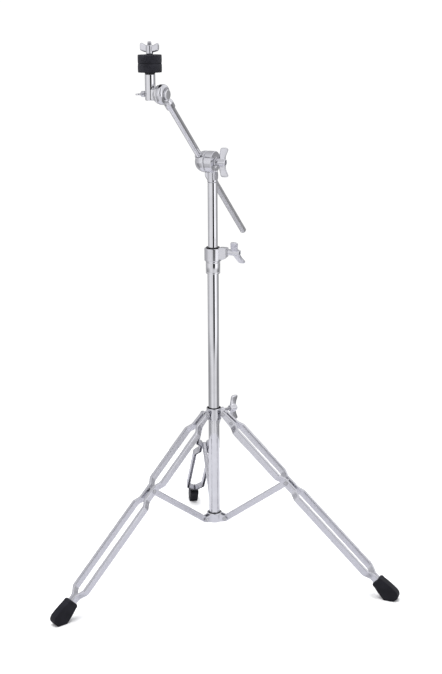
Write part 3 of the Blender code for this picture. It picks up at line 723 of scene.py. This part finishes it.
# %% Feet
tip_along = (TOP_PIN[1] - 10.0) / math.cos(leg_lean)
upper_edge = [(447.0, 8.6), (449.6, 11.8), (453.0, 12.4), (455.0, 12.0), (457.4, 12.6), (467.0, 14.4)]
upper_edge += [(480.0, 15.9), (tip_along + 4.5, 16.4), (tip_along + 13.0, 10.4)]
foot_outline = upper_edge + [(along, -up) for along, up in reversed(upper_edge)]
foot = plate("foot_pattern", foot_outline, -9.6, 9.6, 5.5, 5, 0)
soften(foot, 3.4, 5, 60.0)
for side_name, azimuth in LEGS.items():
    made = copy_of(foot, f"foot_{side_name}_rubber", down_leg(azimuth))
    pick(made)
    bpy.ops.object.mode_set(mode="EDIT")
    bpy.ops.mesh.select_all(action="SELECT")
    bpy.ops.mesh.bisect(plane_co=(0, 0, 0), plane_no=(0, 0, 1), use_fill=True, clear_inner=True)
    close_up()
    soften(made, 2.0, 3, 32.0)
    corners = [(440, -7.1), (468.3, -7.1), (468.3, 7.1), (440, 7.1)]
    cut(made, plate("pocket", corners, -7.4, 7.4, 1.0, 3, 0, down_leg(azimuth)))
    hand_over(made, f"foot_{side_name}", RUBBER, 38.0)
bpy.data.objects.remove(foot)

# %% [markdown]
# ## Lower collar
#
# A steel casting with two cheeks for each stay, fixed near the tube's end. Ring and cheeks are joined
# and then run over with one skin, which gives the joins the soft fillets that polishing leaves on a
# real casting. On the castings that follow, bores are cut after this, so that they stay crisp.

# %% Lower collar and its bush
collar = bored_ring("lower_collar_cast", 12.7, 15.5, 110.4, 129.4, 72, 0.8, upright)
cheek_outline = [(13.2, -8.0), (LOWER_PIN[0] + 1.0, -5.4), (LOWER_PIN[0] + 5.4, -2.2)]
cheek_outline += [(LOWER_PIN[0] + 5.4, 2.2), (LOWER_PIN[0] + 1.0, 5.6), (13.2, 9.4)]
for azimuth in LEGS.values():
    for low in (4.1, -7.1):
        cheek = plate("cheek", cheek_outline, low, low + 3.0, 2.6, 4, 0, radial(azimuth, LOWER_PIN[1]))
        weld(collar, cheek)
cast(collar, 0.5, 5)
hand_over(collar, "lower_collar", CASTING, 60.0)
bush = bored_ring("lower_collar_bush_nylon", 11.4, 12.4, 110.4, 130.2, 72, 0.3, upright)
hand_over(bush, "lower_collar_bush", NYLON)
print("lower collar triangles:", len(collar.data.polygons) * 2)

# %% [markdown]
# ## Wing nuts
#
# All five wings are one idea: a bored hub with two blades that grow out of its sides. By hand it is
# made from a sixteen-sided hub, whose side faces are extruded outward a few times, widened, thinned
# and leaned, and then subdivided into a smooth pressing.

# %% Wing maker


def selected_middle(obj):
    obj.update_from_editmode()
    spots = [v.co for v in obj.data.vertices if v.select]
    low = Vector([min(p[i] for p in spots) for i in range(3)])
    high = Vector([max(p[i] for p in spots) for i in range(3)])
    return (low + high) / 2, high - low


def wing_nut(name, hub_radius, hub, bore, root, tip, span, blade, place):
    """hub, root and tip are (low, high) along the screw, local Z. The blades lie along local X."""
    low, high = hub
    profile = [(bore, low), (hub_radius - 0.7, low), (hub_radius, low + 0.8), (hub_radius, root[0])]
    profile += [(hub_radius, sum(root) / 2), (hub_radius, root[1]), (hub_radius - 0.1, high - 1.3)]
    profile += [(hub_radius - 1.1, high), (bore, high), (bore, sum(root) / 2), (bore, low)]
    obj = turn_up(name, profile, 16, 0)
    half = span / 2
    for side_sign in (1, -1):
        choose_faces(
            obj,
            lambda middle, normal: normal.x * side_sign > 0.9
            and root[0] < middle.z < root[1]
            and middle.x * side_sign > hub_radius * 0.8,
        )
        # The first extrusion also flattens the hub's round side faces into one level end.
        reach, flat = hub_radius * 0.95, 0.02
        for share, low_z, high_z, thick in (
            (0.40, root[0] + 0.2, root[1], blade),
            (0.62, (root[0] + tip[0]) / 2 - 0.4, (root[1] + tip[1]) / 2 + 0.2, blade * 0.86),
            (0.84, tip[0] - 0.8, tip[1] + 0.6, blade * 0.9),
            (0.95, tip[0] - 0.2, tip[1] + 0.4, blade * 0.9),
            (1.02, tip[0] + 2.4, tip[1] - 2.0, blade * 0.7),
        ):
            step = side_sign * (half * share - reach) * MM
            bpy.ops.mesh.extrude_region_move(TRANSFORM_OT_translate={"value": (step, 0, 0)})
            middle, size = selected_middle(obj)
            grow = (flat, thick * MM / size.y, (high_z - low_z) * MM / size.z)
            bpy.ops.transform.resize(value=grow, center_override=middle)
            lift = (low_z + high_z) / 2 * MM - middle.z
            bpy.ops.transform.translate(value=(0, 0, lift))
            reach, flat = half * share, 1.0
        bpy.ops.mesh.select_mode(type="VERT")
        close_up()
    use_modifier(obj, "SUBSURF", levels=3, render_levels=3)
    return put(obj, place)


# %% [markdown]
# ## Upper collar
#
# The sliding collar is a sleeve with a single ear between each pair of strips and a boss for the
# screw that locks it. Sleeve and ears are slim enough to leave the strips room at full fold. The
# screw's wing stands upright, at the right of the tube.

# %% Upper collar
EAR_HALF = 1.45
collar = bored_ring("upper_collar_cast", 13.7, 15.1, 332.0, 356.0, 72, 0.7, upright)
ear = [(14.6, -10.0), (TOP_PIN[0] + 1.4, -5.4), (TOP_PIN[0] + 5.6, -2.0)]
ear += [(TOP_PIN[0] + 5.6, 2.0), (TOP_PIN[0] + 1.0, 5.8), (14.6, 7.4)]
for azimuth in LEGS.values():
    weld(collar, plate("ear", ear, -EAR_HALF, EAR_HALF, 2.8, 4, 0, radial(azimuth, TOP_PIN[1])))
screw_frame = axes(on_tube(345.0), UP, heading(120.0))
boss = turn_up("boss", [(0, 14.4), (6.9, 14.4), (6.9, 25.0), (0, 25.0)], 48, 0.9, 3, screw_frame)
weld(collar, boss)
cast(collar, 0.45, 4)
drill(collar, 3.6, 12.0, 30.0, 24, screw_frame)
hand_over(collar, "upper_collar", CASTING, 60.0)
bush = bored_ring("upper_collar_bush_nylon", 12.6, 13.4, 332.0, 356.7, 72, 0.3, upright)
hand_over(bush, "upper_collar_bush", NYLON)
print("upper collar triangles:", len(collar.data.polygons) * 2)

# %% [markdown]
# A thread is turned as a run of sharp rings. At this size no one can tell them from a true helix, and
# rings stay one closed solid.

# %% Threaded bolts


def thread(low, high, root, crest, pitch):
    """Profile points of a thread between two heights."""
    count = int((high - low) / pitch)
    points = []
    for n in range(count):
        points += [(root, low + n * pitch), (crest, low + (n + 0.5) * pitch)]
    return points + [(root, low + count * pitch)]


screw_profile = [(0, 15.7), (2.4, 15.7), (2.7, 16.2)] + thread(16.4, 49.4, 2.75, 3.2, 1.0)
screw_profile += [(2.4, 50.0), (0, 50.0)]
screw = turn_up("collar_screw_threaded", screw_profile, 32, 0, 1, screw_frame)
hand_over(screw, "collar_screw", ZINC)
wing = wing_nut(
    "collar_wing_pressed", 6.6, (40.0, 57.0), 3.5, (42.2, 56.2), (45.4, 60.4), 51.0, 4.8, screw_frame
)
hand_over(wing, "collar_wing", CASTING, 70.0)

# %% [markdown]
# ## Tube joint
#
# The joint on top of the base tube is a ring with a lug. An eye bolt passes through the lug, and its
# nut draws the nylon bush against the upper tube. The lug's lower corner is taken off, as on the real
# casting, and the bush's lip stands just above the ring.

# %% Tube joint
JOINT_AZIMUTH, BOLT_HEIGHT = 58.8, 677.0
joint_frame = radial(JOINT_AZIMUTH, 0.0)
bolt_frame = axes(on_tube(BOLT_HEIGHT), UP, heading(JOINT_AZIMUTH))
ring = [(11.4, 658.0), (16.7, 658.0), (16.7, 683.0), (14.0, 683.0), (14.0, 668.3), (11.4, 668.3)]
joint = turn_up("tube_joint_cast", ring + ring[:1], 96, 0.8, 3, upright)
lug = [(14.6, 662.0), (24.0, 662.0), (30.0, 667.4), (30.0, 685.4), (14.6, 685.4)]
weld(joint, plate("lug", lug, -7.2, 7.2, 1.4, 3, 0, joint_frame))
cast(joint, 0.42, 4)
drill(joint, 3.5, 12.0, 40.0, 32, bolt_frame)
hand_over(joint, "tube_joint", CASTING, 60.0)

eye_frame = axes(on_tube(BOLT_HEIGHT), (1, 0, 0), UP)
eye = bored_ring("joint_eye_bolt_zinc", 11.3, 13.7, -4, 4, 64, 0.8, eye_frame)
shank_profile = [(0, 12.4), (3.0, 12.4), (3.0, 28.0)] + thread(28.4, 49.4, 2.6, 3.0, 1.0)
shank_profile += [(2.3, 50.0), (0, 50.0)]
weld(eye, turn_up("shank", shank_profile, 32, 0, 1, bolt_frame))
hand_over(eye, "joint_eye_bolt", ZINC)
washer = bored_ring("joint_washer_chromed", 3.4, 7.0, 30.3, 31.8, 48, 0.5, bolt_frame)
hand_over(washer, "joint_washer", CHROME)
bush_profile = [(9.8, 668.6), (11.0, 668.6), (11.0, 683.3), (13.4, 683.3), (13.4, 685.0), (9.8, 685.0)]
bush = turn_up("joint_bush_nylon", bush_profile + bush_profile[:1], 96, 0.4, 3, upright)
slit = [(8.0, 660.0), (15.0, 660.0), (15.0, 690.0), (8.0, 690.0)]
cut(bush, plate("slit", slit, -0.8, 0.8, 0.2, 1, 0, radial(-35.0, 0)))
hand_over(bush, "joint_bush", NYLON)
across = UP.cross(heading(JOINT_AZIMUTH))
wing_lean = math.radians(42.0)
blade_way = UP * math.cos(wing_lean) - across * math.sin(wing_lean)
joint_wing_frame = axes(on_tube(BOLT_HEIGHT), blade_way, heading(JOINT_AZIMUTH))
wing = wing_nut(
    "joint_wing_pressed", 6.3, (32.1, 57.0), 3.4, (41.0, 55.6), (45.4, 59.6), 63.0, 4.8, joint_wing_frame
)
hand_over(wing, "joint_wing_nut", CASTING, 70.0)
print("tube joint triangles:", len(joint.data.polygons) * 2)

# %% [markdown]
# ## Upper tube and clamp bracket
#
# The upper tube slides in the base tube and carries the boom's clamp. The bracket is a disc on a neck
# that leans over to the left, under the boom's side of the clamp. Its mating face is toothed, so that
# the boom can't creep under a cymbal's weight.

# %% Upper tube
CLAMP_AZIMUTH, CLAMP_HEIGHT = 54.8, 850.0
tube = bored_ring("upper_tube_chromed", 8.225, 9.525, 250.0, 811.0, 96, 0.3, upright)
hand_over(tube, "upper_tube", CHROME)
clamp_frame = radial(CLAMP_AZIMUTH, CLAMP_HEIGHT)
clamp_axis = clamp_frame @ ALONG_X


def toothed_disc(name, outer, low, high, teeth, place):
    """A disc whose rim is cut into fine teeth, drawn round local Z."""
    points = []
    for n in range(teeth * 4):
        turn = math.tau * n / (teeth * 4)
        radius = outer if n % 4 < 2 else outer - 0.9
        points.append((radius * math.cos(turn), radius * math.sin(turn), low))
    obj = chain(name, points + [points[0]])
    bpy.ops.mesh.remove_doubles(threshold=0.000004)
    bpy.ops.mesh.edge_face_add()
    bpy.ops.mesh.extrude_region_move(TRANSFORM_OT_translate={"value": (0, 0, (high - low) * MM)})
    close_up()
    return put(obj, place)


# %% Clamp bracket
disc = [(0, -8.6), (20.9, -8.6), (20.9, 7.0), (10.0, 7.0), (9.6, 5.6), (0, 5.6)]
bracket = turn_up("boom_bracket_cast", disc, 96, 1.3, 4, clamp_axis)
neck = [(0, -59.0), (7.9, -59.0), (7.9, -38.7), (10.0, -38.7), (10.0, -18.0), (0, -14.0)]
weld(bracket, turn_up("neck", neck, 72, 0.6, 3, clamp_frame))
web = [(-8.8, -34.0), (-13.0, -27.0), (-13.6, -20.0), (-9.4, -18.0), (-9.0, -10.0), (7.0, -10.0)]
web += [(9.4, -24.0), (9.0, -34.0)]
weld(bracket, plate("web", web, -8.0, 8.0, 2.5, 4, 2.0, clamp_frame))
weld(bracket, toothed_disc("teeth", 20.8, -9.7, -7.4, 48, clamp_axis))
cast(bracket, 0.5, 6)
bore = [(0, -12.0), (6.6, -12.0), (6.6, -3.0), (3.9, -3.0), (3.9, 12.0), (0, 12.0)]
cut(bracket, turn_up("bore", bore, 40, 0, 1, clamp_axis))
hand_over(bracket, "boom_bracket", CASTING, 60.0)
print("bracket triangles:", len(bracket.data.polygons) * 2)

# %% [markdown]
# ## Boom holder
#
# The other half of the clamp is a round-ended drum with a bore across it for the boom. The eye bolt
# pulls boom, drum and bracket together when its wing nut is turned.

# %% Boom holder and its bolt
BOOM_SIDE, BOOM_RISE = -21.0, math.radians(42.5)
clamp_out = heading(CLAMP_AZIMUTH)
level = clamp_frame.to_3x3() @ Vector((0, -1, 0))
boom_way = level * math.cos(BOOM_RISE) + UP * math.sin(BOOM_RISE)
boom_frame = axes(on_tube(CLAMP_HEIGHT) + clamp_out * BOOM_SIDE, clamp_out, boom_way)
drum = [(0, -34.0), (6.5, -33.6), (11.6, -31.8), (15.8, -28.4), (18.8, -23.6), (20.6, -18.0)]
drum += [(20.9, -11.0), (0, -11.0)]
holder = turn_up("boom_holder_cast", drum, 96, 1.6, 5, clamp_axis)
weld(holder, toothed_disc("teeth", 20.8, -12.4, -10.0, 48, clamp_axis))
for lip in (1, -1):  # the raised lips where the boom enters
    lip_profile = [(0, lip * 6.0), (9.6, lip * 6.0), (9.2, lip * 19.6), (0, lip * 19.6)]
    weld(holder, turn_up("lip", lip_profile, 48, 0.8, 3, boom_frame))
cast(holder, 0.5, 6)
boom_bore = [(0, -30), (7.0, -30), (7.0, -4.6), (9.8, -4.5), (9.8, 4.5), (7.0, 4.6), (7.0, 30), (0, 30)]
cut(holder, turn_up("boom_bore", boom_bore, 48, 0, 1, boom_frame))
drill(holder, 3.9, -14.0, -8.0, 24, clamp_axis)
hand_over(holder, "boom_holder", CASTING, 60.0)

eye = bored_ring("boom_eye_bolt_zinc", 7.0, 9.4, -4, 4, 48, 0.7, boom_frame)
shank_profile = [(0, -13.2), (3.5, -13.2), (3.5, 6.0)] + thread(6.4, 26.2, 3.0, 3.5, 1.1)
shank_profile += [(2.8, 27.0), (0, 27.0)]
weld(eye, turn_up("shank", shank_profile, 32, 0, 1, clamp_axis))
hand_over(eye, "boom_eye_bolt", ZINC)
washer = bored_ring("clamp_washer_chromed", 3.9, 8.0, 6.2, 9.0, 48, 0.6, clamp_axis)
hand_over(washer, "boom_clamp_washer", CHROME)
boom_wing_frame = axes(on_tube(CLAMP_HEIGHT), UP, clamp_out)
wing = wing_nut(
    "boom_wing_pressed", 6.6, (9.3, 29.0), 3.8, (14.4, 28.2), (18.2, 33.4), 55.0, 5.0, boom_wing_frame
)
hand_over(wing, "boom_wing_nut", CASTING, 70.0)
print("holder triangles:", len(holder.data.polygons) * 2)

# %% [markdown]
# ## Boom
#
# The boom is a 13 mm tube. Its lower half is knurled, so that the clamp bites. The knurl is real
# geometry: rings 0.6 mm apart, of which every second vertex is pressed in, which leaves diamonds.

# %% Boom arm
KNURL_LOW, KNURL_HIGH, KNURL_STEP, KNURL_SIDES = -236.0, -12.0, 0.62, 72
outer = [(5.2, -240.0), (6.3, -240.0), (6.6, -239.4)]
rows = int((KNURL_HIGH - KNURL_LOW) / KNURL_STEP)
outer += [(6.6, KNURL_LOW + n * KNURL_STEP) for n in range(rows + 1)]
outer += [(6.6, 176.4), (6.3, 177.0), (5.2, 177.0), (5.2, -240.0)]
arm = turn_up("boom_arm_knurled", outer, KNURL_SIDES, 0)
pick(arm)
for vertex in arm.data.vertices:
    spot = vertex.co / MM
    row = round((spot.z - KNURL_LOW) / KNURL_STEP)
    column = round(math.atan2(spot.y, spot.x) / math.tau * KNURL_SIDES)
    vertex.select = math.hypot(spot.x, spot.y) > 6.0 and 0 < row < rows and (row + column) % 2 == 0
bpy.ops.object.mode_set(mode="EDIT")
bpy.ops.mesh.select_mode(type="VERT")
bpy.ops.transform.shrink_fatten(value=-0.28 * MM)
bpy.ops.object.mode_set(mode="OBJECT")
put(arm, boom_frame)
hand_over(arm, "boom_arm", CHROME, 20.0)
arm.data.materials.append(KNURLED)
boom_back = boom_frame.inverted()
for face in arm.data.polygons:
    along = (boom_back @ face.center).z / MM
    face.material_index = 1 if KNURL_LOW - 5 < along < KNURL_HIGH else 0
cap_profile = [(0, -244.3), (3.6, -244.0), (5.4, -242.9), (6.4, -241.2), (6.6, -240.3), (4.9, -240.3)]
plug = turn_up("boom_end_cap", cap_profile + [(4.9, -228.3), (0, -228.3)], 48, 0.5, 3, boom_frame)
hand_over(plug, "boom_end_plug", ZINC)
print("boom faces:", len(arm.data.polygons))

# %% [markdown]
# ## Tilter
#
# The tilter's lower half grips the boom's end. It is a disc with a raised ring boss, and a bolt holds
# it against the stem's own disc. Teeth between the two hold the angle.

# %% Tilter halves
pivot = boom_frame.translation / MM + boom_way * 200.0
tilter_frame = axes(pivot, clamp_out, UP)
tilter_axis = tilter_frame @ ALONG_X
half_profile = [(0, -4.6), (18.4, -4.6), (18.4, 0.6), (17.2, 3.6), (14.0, 5.4), (11.2, 5.9)]
half = turn_up("tilter_half_cast", half_profile + [(10.6, 4.4), (0, 4.4)], 96, 1.6, 4, tilter_axis)
socket = [(0, 164.0), (8.8, 164.0), (8.8, 178.0), (6.4, 183.0), (0, 190.0)]
weld(half, turn_up("socket", socket, 64, 1.0, 3, boom_frame))
weld(half, toothed_disc("teeth", 18.3, -6.0, -3.4, 40, tilter_axis))
cast(half, 0.45, 6)
drill(half, 6.9, 160.0, 177.3, 48, boom_frame)
bore = [(0, -8), (6.0, -8), (6.0, -1.2), (3.2, -1.2), (3.2, 10), (0, 10)]
cut(half, turn_up("bore", bore, 32, 0, 1, tilter_axis))
hand_over(half, "tilter_boom_half", CASTING, 60.0)

bolt_profile = [(0, -44.0), (2.2, -44.0)] + thread(-43.4, -30.0, 2.5, 2.9, 0.9) + [(2.9, -29.0), (2.9, 5.0)]
bolt_profile += [(9.2, 5.0), (9.2, 9.2), (8.2, 10.1), (0, 10.2)]
bolt = turn_up("tilter_bolt_chromed", bolt_profile, 64, 0.25, 2, tilter_axis)
hand_over(bolt, "tilter_bolt", CHROME)
wing_frame = axes(pivot, UP.cross(clamp_out), -clamp_out)
wing = wing_nut(
    "tilter_wing_pressed", 5.6, (36.8, 45.6), 3.2, (38.2, 44.4), (40.6, 48.0), 35.0, 3.6, wing_frame
)
hand_over(wing, "tilter_wing_nut", CASTING, 70.0)

# %% Tilter stem
stem_frame = axes(pivot + clamp_out * -27.0, clamp_out, UP)
stem_profile = [(0, -11.0), (9.5, -11.0), (9.5, 35.5), (0, 35.5)]
stem = turn_up("tilter_stem_cast", stem_profile, 96, 1.2, 4, stem_frame)
disc = [(0, -16.6), (12.0, -16.6), (14.0, -14.0), (16.9, -10.0), (16.9, -7.4), (0, -7.4)]
weld(stem, turn_up("disc", disc, 96, 1.6, 4, tilter_axis))
weld(stem, plate("bridge", [(-24, -9), (-12, -9), (-12, 9), (-24, 9)], -7.5, 7.5, 1.5, 3, 1.5, tilter_frame))
weld(stem, toothed_disc("teeth", 16.9, -8.4, -6.4, 40, tilter_axis))
cast(stem, 0.45, 6)
drill(stem, 3.2, -40, 0, 32, tilter_axis)
drill(stem, 4.2, 14.0, 40.0, 32, stem_frame)
hand_over(stem, "tilter_stem", CHROME, 60.0)
print("stem triangles:", len(stem.data.polygons) * 2)

# %% [markdown]
# ## Rod, seat and felts
#
# The cymbal rests between two felts on a nylon sleeve, and a wing nut holds it down. Felt is pressed
# wool: its edge bulges a little, and its skin is never flat. The felt is spun with many rings and
# then pushed about by cloud noise, first broad and then fine.

# %% Rod, seat and sleeve
rod_profile = [(0, 14.3), (3.3, 14.3), (3.9, 15.0), (3.9, 66.0)] + thread(66.4, 90.6, 3.4, 3.9, 1.1)
rod = turn_up("cymbal_rod_threaded", rod_profile + [(3.0, 92.0), (0, 92.0)], 40, 0, 1, stem_frame)
hand_over(rod, "cymbal_rod", ZINC)
seat = bored_ring("cymbal_seat_nylon", 4.2, 9.4, 35.8, 38.0, 64, 0.5, stem_frame)
hand_over(seat, "cymbal_seat", NYLON)
sleeve = bored_ring("cymbal_sleeve_nylon", 4.2, 5.8, 38.3, 69.0, 48, 0.3, stem_frame, 2)
hand_over(sleeve, "cymbal_sleeve", NYLON)

# %% Felts


def felt(name, low, high, node):
    """A felt disc with a bulged edge, dense enough for its woolly skin."""
    middle, half_height, steps = (low + high) / 2, (high - low) / 2, 22
    inner, flat_end = 6.9, 20.4
    outline = [(6.3, low + 0.5), (inner, low)]
    outline += [(inner + (flat_end - inner) * n / 20, low) for n in range(1, 21)]
    for n in range(steps + 1):
        turn = math.radians(-90 + 180 * n / steps)
        bulge = abs(math.cos(turn)) ** 0.35
        outline.append((flat_end + 1.2 * bulge, middle + half_height * math.sin(turn)))
    outline += [(inner + (flat_end - inner) * n / 20, high) for n in range(20, 0, -1)]
    outline += [(inner, high), (6.3, high - 0.5), (6.3, low + 0.5)]
    obj = turn_up(name, outline, 200, 0, 1)
    for size, strength in ((5.0, 0.35), (0.9, 0.35)):
        clouds = bpy.data.textures.new(f"{name}_{size}", "CLOUDS")
        clouds.noise_scale, clouds.noise_depth = size * MM, 2
        push = {"strength": strength * MM, "mid_level": 0.6, "texture_coords": "LOCAL"}
        use_modifier(obj, "DISPLACE", texture=clouds, **push)
    put(obj, stem_frame)
    hand_over(obj, node, WOOL, 180.0)
    return obj


for name, low, high, node in (
    ("lower_felt_wool", 38.3, 53.6, "lower_felt"),
    ("upper_felt_wool", 53.9, 69.2, "upper_felt"),
):
    made = felt(name, low, high, node)
    print(name, "faces:", len(made.data.polygons))
wing = wing_nut(
    "cymbal_wing_pressed", 6.4, (69.5, 86.0), 4.2, (73.0, 85.4), (76.0, 89.0), 37.0, 6.0, stem_frame
)
hand_over(wing, "cymbal_wing_nut", CASTING, 70.0)

# %% [markdown]
# ## Parts kept from the frame
#
# A few parts are hidden inside others or are already as fine as they need to be: the springs, the
# upper tube's guide and the pad behind the collar screw. They keep their meshes and get the same
# finishes as the rest.

# %% Finishes for kept parts
replaced = {node for piece in finished for node in piece["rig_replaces"]}
KEPT = {"bare_steel": ZINC, "chrome": CASTING, "black_nylon": NYLON}
KEPT.update({"black_rubber": RUBBER, "black_felt": WOOL})
for node_name, node in frame["nodes"].items():
    if node_name not in replaced:
        for material_slot in node.material_slots:
            first_name = material_slot.material.name if material_slot.material else "bare_steel"
            material_slot.material = KEPT.get(first_name.split(".")[0], ZINC)
print("kept:", sorted(set(frame["nodes"]) - replaced))

# %% [markdown]
# ## Count
#
# The finished stand has to stay the size of its frame. Its finished pieces and their triangles are counted.

# %% Count and finish
clear()
triangles = sum(sum(len(p.vertices) - 2 for p in o.data.polygons) for o in finished)
print("finished pieces:", len(finished), "triangles:", triangles)
